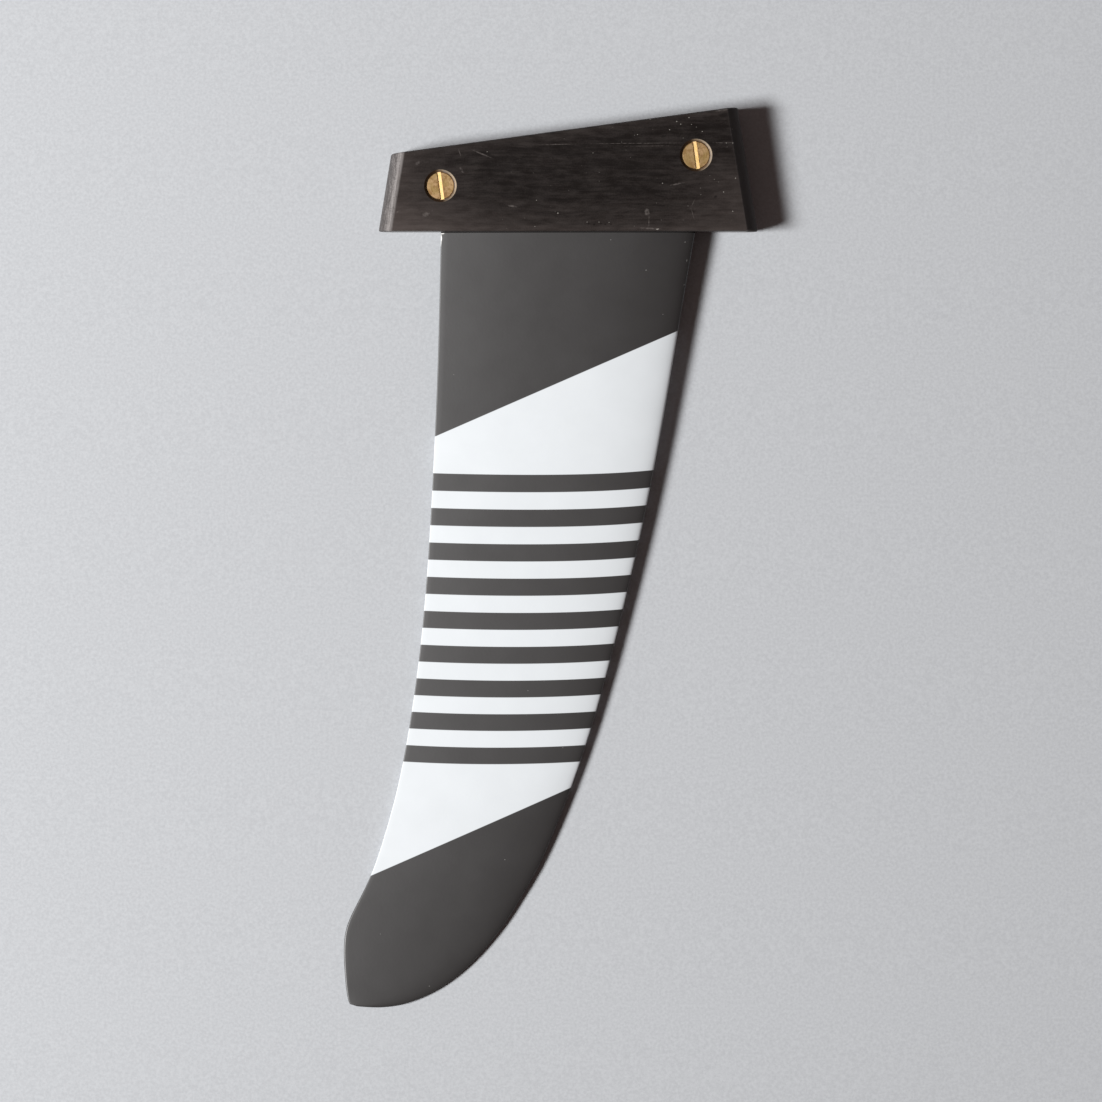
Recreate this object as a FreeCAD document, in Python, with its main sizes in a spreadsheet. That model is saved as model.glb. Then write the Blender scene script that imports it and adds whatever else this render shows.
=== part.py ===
import FreeCAD, Part
import math
import os
import Sketcher

# A windsurf fin lying on its side: a foil blade glued by its tang into a wedge-shaped
# head, with a brass barrel nut at each end of the head for the bolts of the board.
# Millimetres and degrees. The origin is the middle of the head's lower face, on the
# centre plane: +X runs forward to the leading edge, +Y up into the board, +Z sideways.

SIZES = {
    # Blade: its foil is a half ellipse at the nose and two long arcs to the rear
    "blade_depth": 340.0,
    "root_chord": 111.2,
    "root_thickness": 9.6,
    "edge_thickness": 0.7,
    "tip_thinning": 0.42,
    "nose_share": 0.36,
    # Tang of the blade, glued into the head between the two nut bores
    "tang_height": 24.0,
    "tang_thickness": 7.0,
    "tang_wall": 6.0,
    "glue_gap": 0.1,
    # Head: its length is that of the foot, and its ends lean in from there
    "head_length": 165.8,
    "head_thickness": 17.5,
    "front_height": 54.2,
    "end_taper": 9.3,
    "top_slope": 7.7,
    "end_radius": 10.5,
    "head_chamfer": 0.5,
    # Barrel nuts: each lies inset from an end of the foot, and deep below the top
    "rear_nut_inset": 27.2,
    "rear_nut_depth": 16.8,
    "front_nut_inset": 27.2,
    "front_nut_depth": 18.5,
    "nut_diameter": 12.0,
    "nut_clearance": 0.1,
    "nut_recess": 1.0,
    "nut_chamfer": 0.3,
    "bore_chamfer": 1.0,
    "slot_width": 1.8,
    "slot_depth": 0.4,
    "thread_core": 5.0,
    # Bolt holes of the head, drilled square to the sloping top
    "bolt_hole": 7.0,
    "bolt_runout": 4.0,
    "drill_point": 59.0,
}

# Chord lines of the blade, from the head to the tip. Each runs from a point of the
# trailing edge to a point of the leading edge: how deep it lies, as a share of
# blade_depth, and its place fore and aft, as a share of root_chord. The lines follow
# the flow at first and fan out round the tip.
CHORD_LINES = [
    # trailing depth, trailing place, leading depth, leading place
    (0.0, -0.5, 0.0, 0.5),
    (0.06, -0.504, 0.06, 0.468),
    (0.15, -0.511, 0.15, 0.421),
    (0.26, -0.524, 0.26, 0.363),
    (0.39, -0.545, 0.39, 0.284),
    (0.52, -0.577, 0.52, 0.19),
    (0.63, -0.622, 0.63, 0.099),
    (0.72, -0.675, 0.72, 0.007),
    (0.785, -0.73, 0.785, -0.072),
    (0.828, -0.776, 0.828, -0.134),
    (0.864, -0.829, 0.864, -0.198),
    (0.892, -0.869, 0.892, -0.252),
    (0.915, -0.883, 0.922, -0.323),
    (0.937, -0.884, 0.950, -0.405),
    (0.955, -0.881, 0.972, -0.491),
    (0.971, -0.877, 0.988, -0.582),
    (0.983, -0.872, 0.9972, -0.669),
    (0.991, -0.867, 1.0, -0.759),
    (0.9955, -0.861, 0.9985, -0.833),
]
LINE_KEYS = ("trail_depth", "trail_place", "lead_depth", "lead_place")

# Formulas of the sheet that more than one feature uses.
FRONT_CORNER = "(Sizes.head_length / 2 - Sizes.front_height * tan(Sizes.end_taper))"
BORE_RADIUS = "(Sizes.nut_diameter / 2 + Sizes.nut_clearance)"

doc = FreeCAD.newDocument("WindsurfFin")
sheet = doc.addObject("Spreadsheet::Sheet", "Sizes")


def enter_sizes():
    """Write every driving size into the sheet, with an alias for each cell."""
    named = dict(SIZES)
    for place, line in enumerate(CHORD_LINES):
        for key, number in zip(LINE_KEYS, line):
            named[key + "_" + str(place)] = number
    for row, (alias, number) in enumerate(named.items(), start=1):
        sheet.set("A" + str(row), alias)
        sheet.set("B" + str(row), str(number))
        sheet.setAlias("B" + str(row), alias)
    doc.recompute()


def value_of(formula):
    """What a formula of the sheet comes to now."""
    result = sheet.evalExpression(formula)
    return float(getattr(result, "Value", result))


def new_body(label):
    """An empty body, and its origin planes by role."""
    body = doc.addObject("PartDesign::Body", label)
    body.Label = label
    planes = {feature.Role: feature for feature in body.Origin.OriginFeatures}
    return body, planes


def new_sketch(body, plane, name, offsets=None, turn_axis=None, turn=None):
    """A sketch on a plane of the body, moved and turned on it by formulas."""
    sketch = body.newObject("Sketcher::SketchObject", name)
    sketch.AttachmentSupport = [(plane, "")]
    sketch.MapMode = "FlatFace"
    if turn:
        rotation = FreeCAD.Rotation(turn_axis, value_of(turn))
        sketch.AttachmentOffset = FreeCAD.Placement(FreeCAD.Vector(), rotation)
        sketch.setExpression("AttachmentOffset.Rotation.Angle", turn)
    for axis, formula in (offsets or {}).items():
        sketch.setExpression("AttachmentOffset.Base." + axis, formula)
    return sketch


def dimension(sketch, name, formula, kind, *places):
    """A named dimension of a sketch that follows a formula of the sheet."""
    number = value_of(formula)
    if kind == "Angle":
        number = math.radians(number)
    index = sketch.addConstraint(Sketcher.Constraint(kind, *places, number))
    sketch.renameConstraint(index, name)
    sketch.setExpression("Constraints." + name, formula)


def draw_loop(sketch, corners):
    """A closed loop of straight lines through named corners, each an X and a Y formula."""
    points = [FreeCAD.Vector(value_of(x), value_of(y), 0) for x, y in corners.values()]
    for index, point in enumerate(points):
        sketch.addGeometry(Part.LineSegment(point, points[(index + 1) % len(points)]))
    for index in range(len(points)):
        following = (index + 1) % len(points)
        sketch.addConstraint(Sketcher.Constraint("Coincident", index, 2, following, 1))
    for index, (name, (x, y)) in enumerate(corners.items()):
        for axis, formula, own_axis in (("X", x, -2), ("Y", y, -1)):
            if formula == "0":
                on_axis = Sketcher.Constraint("PointOnObject", index, 1, own_axis)
                sketch.addConstraint(on_axis)
            else:
                place = name + "_" + axis.lower()
                dimension(sketch, place, formula, "Distance" + axis, -1, 1, index, 1)


def foil_section(body, plane, place):
    """One section of the blade, standing on its chord line."""
    here = {key: "Sizes." + key + "_" + str(place) for key in LINE_KEYS}
    reach = "(({lead_place} - {trail_place}) * Sizes.root_chord)".format(**here)
    climb = "(({trail_depth} - {lead_depth}) * Sizes.blade_depth)".format(**here)
    depth_share = "(({trail_depth} + {lead_depth}) / 2)".format(**here)
    chord = "sqrt(" + reach + "^2 + " + climb + "^2)"
    fullness = chord + " / Sizes.root_chord * (1 - Sizes.tip_thinning * " + depth_share + ")"
    edge = "Sizes.edge_thickness"
    thickness = edge + " + (Sizes.root_thickness - " + edge + ") * " + fullness
    nose = "Sizes.nose_share * " + chord
    offsets = {
        "x": here["trail_place"] + " * Sizes.root_chord",
        "z": here["trail_depth"] + " * Sizes.blade_depth",
    }
    turn = "atan2(" + climb + "; " + reach + ")"
    sketch = new_sketch(
        body, plane, "foil_" + str(place), offsets, FreeCAD.Vector(0, 1, 0), turn)

    peak = value_of(chord) - value_of(nose)
    half = value_of(thickness) / 2
    half_edge = value_of(edge) / 2
    rise = half - half_edge
    radius = (peak**2 + rise**2) / (2 * rise)
    spread = math.asin(peak / radius)
    up = math.pi / 2
    flat = FreeCAD.Vector(0, 0, 1)
    ellipse = Part.Ellipse(FreeCAD.Vector(peak, 0, 0), value_of(nose), half)
    upper = Part.Circle(FreeCAD.Vector(peak, half - radius, 0), flat, radius)
    lower = Part.Circle(FreeCAD.Vector(peak, radius - half, 0), flat, radius)
    trailing = Part.LineSegment(
        FreeCAD.Vector(0, half_edge, 0), FreeCAD.Vector(0, -half_edge, 0))

    nose_arc = sketch.addGeometry(Part.ArcOfEllipse(ellipse, -up, up))
    sketch.exposeInternalGeometry(nose_arc)
    long_axis = nose_arc + 1
    short_axis = nose_arc + 2
    upper_arc = sketch.addGeometry(Part.ArcOfCircle(upper, up, up + spread))
    trailing_line = sketch.addGeometry(trailing)
    lower_arc = sketch.addGeometry(Part.ArcOfCircle(lower, -up - spread, -up))
    for constraint in (
            ("PointOnObject", nose_arc, 3, -1),
            ("PointOnObject", long_axis, 1, -1),
            ("PointOnObject", nose_arc, 1, short_axis),
            ("PointOnObject", nose_arc, 2, short_axis),
            ("Coincident", nose_arc, 2, upper_arc, 1),
            ("Coincident", upper_arc, 2, trailing_line, 1),
            ("Coincident", trailing_line, 2, lower_arc, 1),
            ("Coincident", lower_arc, 2, nose_arc, 1),
            ("PointOnObject", upper_arc, 3, short_axis),
            ("PointOnObject", lower_arc, 3, short_axis),
            ("PointOnObject", trailing_line, 1, -2),
            ("Symmetric", trailing_line, 1, trailing_line, 2, -1)):
        sketch.addConstraint(Sketcher.Constraint(*constraint))
    dimension(sketch, "chord", chord, "DistanceX", -1, 1, long_axis, 1)
    dimension(sketch, "nose", nose, "DistanceX", nose_arc, 3, long_axis, 1)
    dimension(sketch, "thickness", thickness, "DistanceY", short_axis, 2, short_axis, 1)
    dimension(sketch, "edge", edge, "DistanceY", trailing_line, 2, trailing_line, 1)
    return sketch


def nut_place(end):
    """Where a barrel nut crosses the head, as an X and a Y formula."""
    inset = "Sizes." + end + "_nut_inset"
    depth = "Sizes." + end + "_nut_depth"
    if end == "rear":
        x = "(" + inset + " - Sizes.head_length / 2)"
    else:
        x = "(Sizes.head_length / 2 - " + inset + ")"
    drop = "(" + FRONT_CORNER + " - " + x + ") * tan(Sizes.top_slope)"
    y = "(Sizes.front_height - " + drop + " - " + depth + " / cos(Sizes.top_slope))"
    return x, y


def tang_outline(body, planes, gap):
    """The tang's rectangle between the two nut bores, or with a gap that of its pocket."""
    outline = new_sketch(body, planes["XZ_Plane"], "tang_outline")
    inset = "(" + BORE_RADIUS + " + Sizes.tang_wall - " + gap + ")"
    rear = "(" + nut_place("rear")[0] + " + " + inset + ")"
    front = "(" + nut_place("front")[0] + " - " + inset + ")"
    side = "(Sizes.tang_thickness / 2 + " + gap + ")"
    draw_loop(outline, {
        "rear_low": (rear, "-" + side),
        "front_low": (front, "-" + side),
        "front_high": (front, side),
        "rear_high": (rear, side),
    })
    return outline


def make_blade():
    """The blade: one loft through its foil sections, with a plain tang at the root."""
    body, planes = new_body("blade")
    sections = [
        foil_section(body, planes["XZ_Plane"], place) for place in range(len(CHORD_LINES))]
    doc.recompute()
    loft = body.newObject("PartDesign::AdditiveLoft", "foil")
    loft.Profile = sections[0]
    loft.Sections = sections[1:]
    loft.Ruled = False
    doc.recompute()

    outline = tang_outline(body, planes, "0")
    tang = body.newObject("PartDesign::Pad", "tang")
    tang.Profile = outline
    tang.Reversed = True
    tang.setExpression("Length", "Sizes.tang_height")
    return body


def side_view(body, planes):
    """The head from the side: a flat foot, two ends that lean in and a sloping top."""
    sketch = new_sketch(body, planes["XY_Plane"], "side_view")
    foot = value_of("Sizes.head_length") / 2
    front_corner = value_of(FRONT_CORNER)
    height = value_of("Sizes.front_height")
    rear_height = 0.6 * height
    corners = (
        FreeCAD.Vector(-foot, 0, 0),
        FreeCAD.Vector(foot, 0, 0),
        FreeCAD.Vector(front_corner, height, 0),
        FreeCAD.Vector(-front_corner, rear_height, 0),
    )
    foot_line, front_line, top_line, rear_line = (
        sketch.addGeometry(Part.LineSegment(corner, corners[(index + 1) % len(corners)]))
        for index, corner in enumerate(corners))
    for constraint in (
            ("Coincident", foot_line, 2, front_line, 1),
            ("Coincident", front_line, 2, top_line, 1),
            ("Coincident", top_line, 2, rear_line, 1),
            ("Coincident", rear_line, 2, foot_line, 1),
            ("Symmetric", foot_line, 1, foot_line, 2, -1, 1),
            ("Horizontal", foot_line)):
        sketch.addConstraint(Sketcher.Constraint(*constraint))
    dimension(sketch, "foot", "Sizes.head_length", "DistanceX", foot_line, 1, foot_line, 2)
    dimension(sketch, "front_height", "Sizes.front_height", "DistanceY", -1, 1, front_line, 2)
    dimension(sketch, "front_lean", "90 + Sizes.end_taper", "Angle", front_line)
    dimension(sketch, "top_lean", "Sizes.top_slope - 180", "Angle", top_line)
    dimension(sketch, "rear_lean", "-90 - Sizes.end_taper", "Angle", rear_line)
    return sketch


def cut_round(body, name, sketch, angle=360):
    """Turn a sketched half-outline about its own upright axis and cut it away."""
    groove = body.newObject("PartDesign::Groove", name)
    groove.Profile = sketch
    groove.ReferenceAxis = (sketch, ["V_Axis"])
    groove.Angle = angle
    groove.Midplane = True
    doc.recompute()
    return groove


def round_end(body, planes, end):
    """Round an end of the head across its thickness, about an axis that leans with it."""
    side = "-" if end == "rear" else ""
    foot = side + "(Sizes.head_length / 2 - Sizes.end_radius / cos(Sizes.end_taper))"
    sketch = new_sketch(
        body, planes["XY_Plane"], "beyond_" + end, {"x": foot},
        FreeCAD.Vector(0, 0, 1), side + "Sizes.end_taper * 1 deg")
    draw_loop(sketch, {
        "near_low": (side + "Sizes.end_radius", "-Sizes.front_height"),
        "far_low": (side + "2 * Sizes.end_radius", "-Sizes.front_height"),
        "far_high": (side + "2 * Sizes.end_radius", "2 * Sizes.front_height"),
        "near_high": (side + "Sizes.end_radius", "2 * Sizes.front_height"),
    })
    doc.recompute()
    return cut_round(body, end + "_end", sketch, angle=180)


def make_head():
    """The wedge-shaped head: leaning round ends, sloping top, nut bores and bolt holes."""
    body, planes = new_body("fin_head")
    outline = side_view(body, planes)
    doc.recompute()
    blank = body.newObject("PartDesign::Pad", "blank")
    blank.Profile = outline
    blank.Midplane = True
    blank.setExpression("Length", "Sizes.head_thickness")
    doc.recompute()
    round_end(body, planes, "rear")
    rounded = round_end(body, planes, "front")

    foot_face = face_along(rounded, FreeCAD.Vector(0, -1, 0))
    slope = math.radians(value_of("Sizes.top_slope"))
    top_face = face_along(rounded, FreeCAD.Vector(-math.sin(slope), math.cos(slope), 0))
    edges = body.newObject("PartDesign::Chamfer", "broken_edges")
    edges.Base = (rounded, [foot_face, top_face])
    edges.setExpression("Size", "Sizes.head_chamfer")
    doc.recompute()

    pocket = body.newObject("PartDesign::Pocket", "tang_pocket")
    pocket.Profile = tang_outline(body, planes, "Sizes.glue_gap")
    pocket.setExpression("Length", "Sizes.tang_height + Sizes.glue_gap")
    doc.recompute()
    for end in ("rear", "front"):
        cut_nut_bore(body, planes, end)
        cut_bolt_hole(body, planes, end)
    return body


def face_along(feature, direction):
    """The name of the feature's flat face that looks along a direction."""
    for number, face in enumerate(feature.Shape.Faces, start=1):
        normal = face.normalAt(*face.Surface.parameter(face.CenterOfMass))
        if normal.getAngle(direction) < 0.001:
            return "Face" + str(number)
    raise ValueError("no face looks that way")


def cut_nut_bore(body, planes, end):
    """The bore of a barrel nut, through both flanks, with broken rims."""
    x, y = nut_place(end)
    half = "Sizes.head_thickness / 2"
    rim = "(" + BORE_RADIUS + " + Sizes.bore_chamfer)"
    sketch = new_sketch(
        body, planes["XZ_Plane"], end + "_bore_outline", {"x": x, "z": "-" + y})
    draw_loop(sketch, {
        "bottom": ("0", "-" + half),
        "low_rim": (rim, "-" + half),
        "low_wall": (BORE_RADIUS, "Sizes.bore_chamfer - " + half),
        "high_wall": (BORE_RADIUS, half + " - Sizes.bore_chamfer"),
        "high_rim": (rim, half),
        "top": ("0", half),
    })
    doc.recompute()
    cut_round(body, end + "_nut_bore", sketch)


def cut_bolt_hole(body, planes, end):
    """A blind drilled hole, square to the sloping top, that runs past the nut's bore."""
    x, y = nut_place(end)
    radius = "Sizes.bolt_hole / 2"
    floor = "(" + BORE_RADIUS + " + Sizes.bolt_runout)"
    point = "(" + floor + " + " + radius + " / tan(Sizes.drill_point))"
    sketch = new_sketch(
        body, planes["XY_Plane"], end + "_hole_outline", {"x": x, "y": y},
        FreeCAD.Vector(0, 0, 1), "Sizes.top_slope * 1 deg")
    draw_loop(sketch, {
        "point": ("0", "-" + point),
        "wall_foot": (radius, "-" + floor),
        "mouth": (radius, "Sizes.front_height"),
        "axis_top": ("0", "Sizes.front_height"),
    })
    doc.recompute()
    cut_round(body, end + "_bolt_hole", sketch)


def make_barrel_nut(end):
    """A turned cross nut: slotted at one end, threaded through for the board's bolt."""
    body, planes = new_body("barrel_nut_" + end)
    x, y = nut_place(end)
    radius = "Sizes.nut_diameter / 2"
    half = "(Sizes.head_thickness / 2 - Sizes.nut_recess)"
    outline = new_sketch(body, planes["XZ_Plane"], "turned_outline")
    draw_loop(outline, {
        "bottom": ("0", "-" + half),
        "low_face": (radius + " - Sizes.nut_chamfer", "-" + half),
        "low_wall": (radius, "Sizes.nut_chamfer - " + half),
        "high_wall": (radius, half + " - Sizes.nut_chamfer"),
        "high_face": (radius + " - Sizes.nut_chamfer", half),
        "top": ("0", half),
    })
    turned = body.newObject("PartDesign::Revolution", "turned_bar")
    turned.Profile = outline
    turned.ReferenceAxis = (outline, ["V_Axis"])
    turned.Angle = 360
    doc.recompute()

    slot_outline = new_sketch(body, planes["XY_Plane"], "slot_outline", {"z": half})
    draw_loop(slot_outline, {
        "low_left": ("-Sizes.slot_width / 2", "-Sizes.nut_diameter"),
        "low_right": ("Sizes.slot_width / 2", "-Sizes.nut_diameter"),
        "high_right": ("Sizes.slot_width / 2", "Sizes.nut_diameter"),
        "high_left": ("-Sizes.slot_width / 2", "Sizes.nut_diameter"),
    })
    doc.recompute()
    slot = body.newObject("PartDesign::Pocket", "screwdriver_slot")
    slot.Profile = slot_outline
    slot.setExpression("Length", "Sizes.slot_depth")
    doc.recompute()

    core = new_sketch(body, planes["XZ_Plane"], "thread_core")
    circle = Part.Circle(
        FreeCAD.Vector(), FreeCAD.Vector(0, 0, 1), value_of("Sizes.thread_core") / 2)
    core.addGeometry(circle)
    core.addConstraint(Sketcher.Constraint("Coincident", 0, 3, -1, 1))
    dimension(core, "core", "Sizes.thread_core", "Diameter", 0)
    doc.recompute()
    thread = body.newObject("PartDesign::Pocket", "threaded_hole")
    thread.Profile = core
    thread.Midplane = True
    thread.setExpression("Length", "2 * Sizes.nut_diameter")
    slope = FreeCAD.Rotation(FreeCAD.Vector(0, 0, 1), value_of("Sizes.top_slope"))
    body.Placement = FreeCAD.Placement(FreeCAD.Vector(), slope)
    body.setExpression("Placement.Base.x", x)
    body.setExpression("Placement.Base.y", y)
    body.setExpression("Placement.Rotation.Angle", "Sizes.top_slope * 1 deg")
    return body


enter_sizes()
pieces = [make_blade(), make_head(), make_barrel_nut("rear"), make_barrel_nut("front")]
doc.recompute()
for item in doc.Objects:
    if "Invalid" in item.State or "Error" in item.State:
        raise ValueError(item.Name + " failed: " + ", ".join(item.State))
    if item.TypeId == "Sketcher::SketchObject" and not item.FullyConstrained:
        raise ValueError(item.Name + " is not fully constrained")
for piece in pieces:
    if piece.Shape.isNull() or not piece.Shape.isValid():
        raise ValueError(piece.Label + " has no valid shape")
    if len(piece.Shape.Solids) != 1:
        raise ValueError(piece.Label + " is not one solid")

os.makedirs("parts", exist_ok=True)
for piece in pieces:
    piece.Shape.exportStep("parts/" + piece.Label + ".step")
    print(piece.Label, round(piece.Shape.Volume, 1), piece.Shape.optimalBoundingBox())
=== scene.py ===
import bmesh
import bpy
import numpy as np
from mathutils import Matrix, Vector


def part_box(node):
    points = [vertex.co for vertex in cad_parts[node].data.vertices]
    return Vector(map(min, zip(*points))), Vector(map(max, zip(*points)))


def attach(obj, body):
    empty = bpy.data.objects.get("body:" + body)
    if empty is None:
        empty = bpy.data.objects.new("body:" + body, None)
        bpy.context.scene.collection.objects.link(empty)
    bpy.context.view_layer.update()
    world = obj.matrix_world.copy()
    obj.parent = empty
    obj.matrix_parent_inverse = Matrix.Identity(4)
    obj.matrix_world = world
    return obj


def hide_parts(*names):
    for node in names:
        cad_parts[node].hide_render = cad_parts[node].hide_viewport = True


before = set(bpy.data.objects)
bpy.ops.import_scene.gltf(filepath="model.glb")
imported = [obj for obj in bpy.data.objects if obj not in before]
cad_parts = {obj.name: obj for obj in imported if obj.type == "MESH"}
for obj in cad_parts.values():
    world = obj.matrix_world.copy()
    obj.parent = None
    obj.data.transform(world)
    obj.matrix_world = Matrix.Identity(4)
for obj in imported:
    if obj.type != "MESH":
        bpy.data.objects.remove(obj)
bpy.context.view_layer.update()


# Blade: one moulded foil of carbon and epoxy, faired, sprayed in charcoal and white satin
# paint through masks, and glued by its tang into the head. Its root is chipped at the
# trailing edge, and a fine dark line of glue shows where it meets the head.
BLADE_DEPTH = 0.340
ROOT_CHORD = 0.1112
ROOT_THICKNESS = 0.0096
EDGE_THICKNESS = 0.0007
TIP_THINNING = 0.42
NOSE_SHARE = 0.36
EDGE_ROUNDING = 0.0004
TIP_EDGE_THICKNESS = 0.0011
TIP_EDGE_ROUNDING = 0.0007
TIP_EDGE_START = 0.280
TIP_EDGE_FULL = 0.296
TIP_ROUNDING = 0.0012
SEAM_WIDTH = 0.0005
SEAM_DEPTH = 0.0003

# The tang's length fore and aft, its height into the head and its thickness.
TANG_SIZE = (0.0872, 0.024, 0.007)

# Trailing depth and place, leading depth and place: depths as shares of BLADE_DEPTH,
# places fore and aft as shares of ROOT_CHORD.
CHORD_LINES = np.array([
    (0.0, -0.5, 0.0, 0.5),
    (0.06, -0.504, 0.06, 0.468),
    (0.15, -0.511, 0.15, 0.421),
    (0.26, -0.524, 0.26, 0.363),
    (0.39, -0.545, 0.39, 0.284),
    (0.52, -0.577, 0.52, 0.19),
    (0.63, -0.622, 0.63, 0.099),
    (0.72, -0.675, 0.72, 0.007),
    (0.785, -0.73, 0.785, -0.072),
    (0.828, -0.776, 0.828, -0.134),
    (0.864, -0.829, 0.864, -0.198),
    (0.892, -0.869, 0.892, -0.252),
    (0.915, -0.883, 0.922, -0.323),
    (0.937, -0.884, 0.950, -0.405),
    (0.955, -0.881, 0.972, -0.491),
    (0.971, -0.877, 0.988, -0.582),
    (0.983, -0.872, 0.9972, -0.669),
    (0.991, -0.867, 1.0, -0.759),
    (0.9955, -0.861, 0.9985, -0.833),
])

CHARCOAL = (0.0255, 0.0238, 0.0236, 1)
BAND_CHARCOAL = (0.0350, 0.0332, 0.0330, 1)
WHITE = (0.752, 0.788, 0.812, 1)
BARE_EDGE = (0.80, 0.79, 0.76, 1)
DUST = (0.33, 0.32, 0.31, 1)

# Where the masks lay: the slanting ends of the white field, and the nine bands across it.
UPPER_LINE = ((-0.0576, -0.0893), (0.0479, -0.0434))
LOWER_LINE = ((-0.0863, -0.2820), (0.0025, -0.2428))
FIRST_BAND = -0.1056
BAND_PITCH = 0.01524
PITCH_CREEP = 0.00305
BAND_COUNT = 9
DARK_SHARE = 0.503
BAND_SAG = (0.0007, 0.00105)
BAND_LIFT = 0.0014
BAND_MARGIN = 0.2
BAND_SOFTNESS = 0.008

PAINT_CLOUDS = 60.0
CLOUD_SPREAD = (0.3, 0.7)
PAINT_SHADE = (0.98, 1.02)
SATIN_ROUGHNESS = (0.46, 0.5)
WHITE_IS_DULLER = 0.5
PEEL_GRAIN = 900.0
PEEL_DEPTH = 0.00004
PEEL_STRENGTH = 0.25

MARK_GRAIN = 2600.0
MARK_RIM = (1.25, 0.65)

# Small marks, in millimetres and degrees: x, y, half length, half width, turn.
BLADE_DUST = (
    (18.6, -3.7, 0.16, 0.14, 0),
    (51.1, -4.6, 0.26, 0.16, 20),
    (51.9, -12.6, 0.5, 0.12, 80),
    (50.7, -23.2, 0.25, 0.12, 75),
    (34.0, -16.9, 0.2, 0.17, 0),
    (41.4, -36.2, 0.13, 0.12, 0),
    (39.9, -89.7, 0.16, 0.14, 0),
    (-50.0, -62.5, 0.14, 0.12, 0),
    (-17.6, -200.8, 0.18, 0.16, 0),
    (-2.3, -225.8, 0.16, 0.14, 0),
    (-27.7, -274.9, 0.17, 0.14, 0),
    (-82.3, -307.6, 0.13, 0.11, 0),
    (-60.9, -330.5, 0.16, 0.13, 0),
)
ROOT_CHIPS = (
    (-55.6, -3.1, 1.5, 0.42, 86),
    (-55.7, -4.8, 1.6, 0.2, 88),
    (-54.9, -0.9, 0.7, 0.22, 8),
)


def spline_through(stations, values, wanted):
    """Values at the wanted places on the natural cubic spline through the stations.

    The second derivatives m solve, at each inner station,
    h0*m0 + 2*(h0 + h1)*m1 + h1*m2 = 6*(slope after - slope before), and are 0 at both ends.
    Between two stations the value is the line between them plus
    ((a^3 - a)*m0 + (b^3 - b)*m1)*h^2/6, where a and b are the shares of each station."""
    step = np.diff(stations)
    slope = np.diff(values, axis=0) / step[:, None]
    count = len(stations)
    system = np.eye(count)
    inner = np.arange(1, count - 1)
    system[inner, inner - 1] = step[:-1]
    system[inner, inner] = 2 * (step[:-1] + step[1:])
    system[inner, inner + 1] = step[1:]
    target = np.zeros_like(values)
    target[1:-1] = 6 * np.diff(slope, axis=0)
    bend = np.linalg.solve(system, target)
    span = np.clip(np.searchsorted(stations, wanted) - 1, 0, count - 2)
    wide = step[span][:, None]
    after = (wanted[:, None] - stations[span][:, None]) / wide
    before = 1 - after
    return (before * values[span] + after * values[span + 1]
            + ((before**3 - before) * bend[span]
               + (after**3 - after) * bend[span + 1]) * wide**2 / 6)


def smoothstep(low, high, value):
    """0 below low, 1 above high, and 3t^2 - 2t^3 of the share t between them."""
    share = np.clip((value - low) / (high - low), 0, 1)
    return share * share * (3 - 2 * share)


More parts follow.
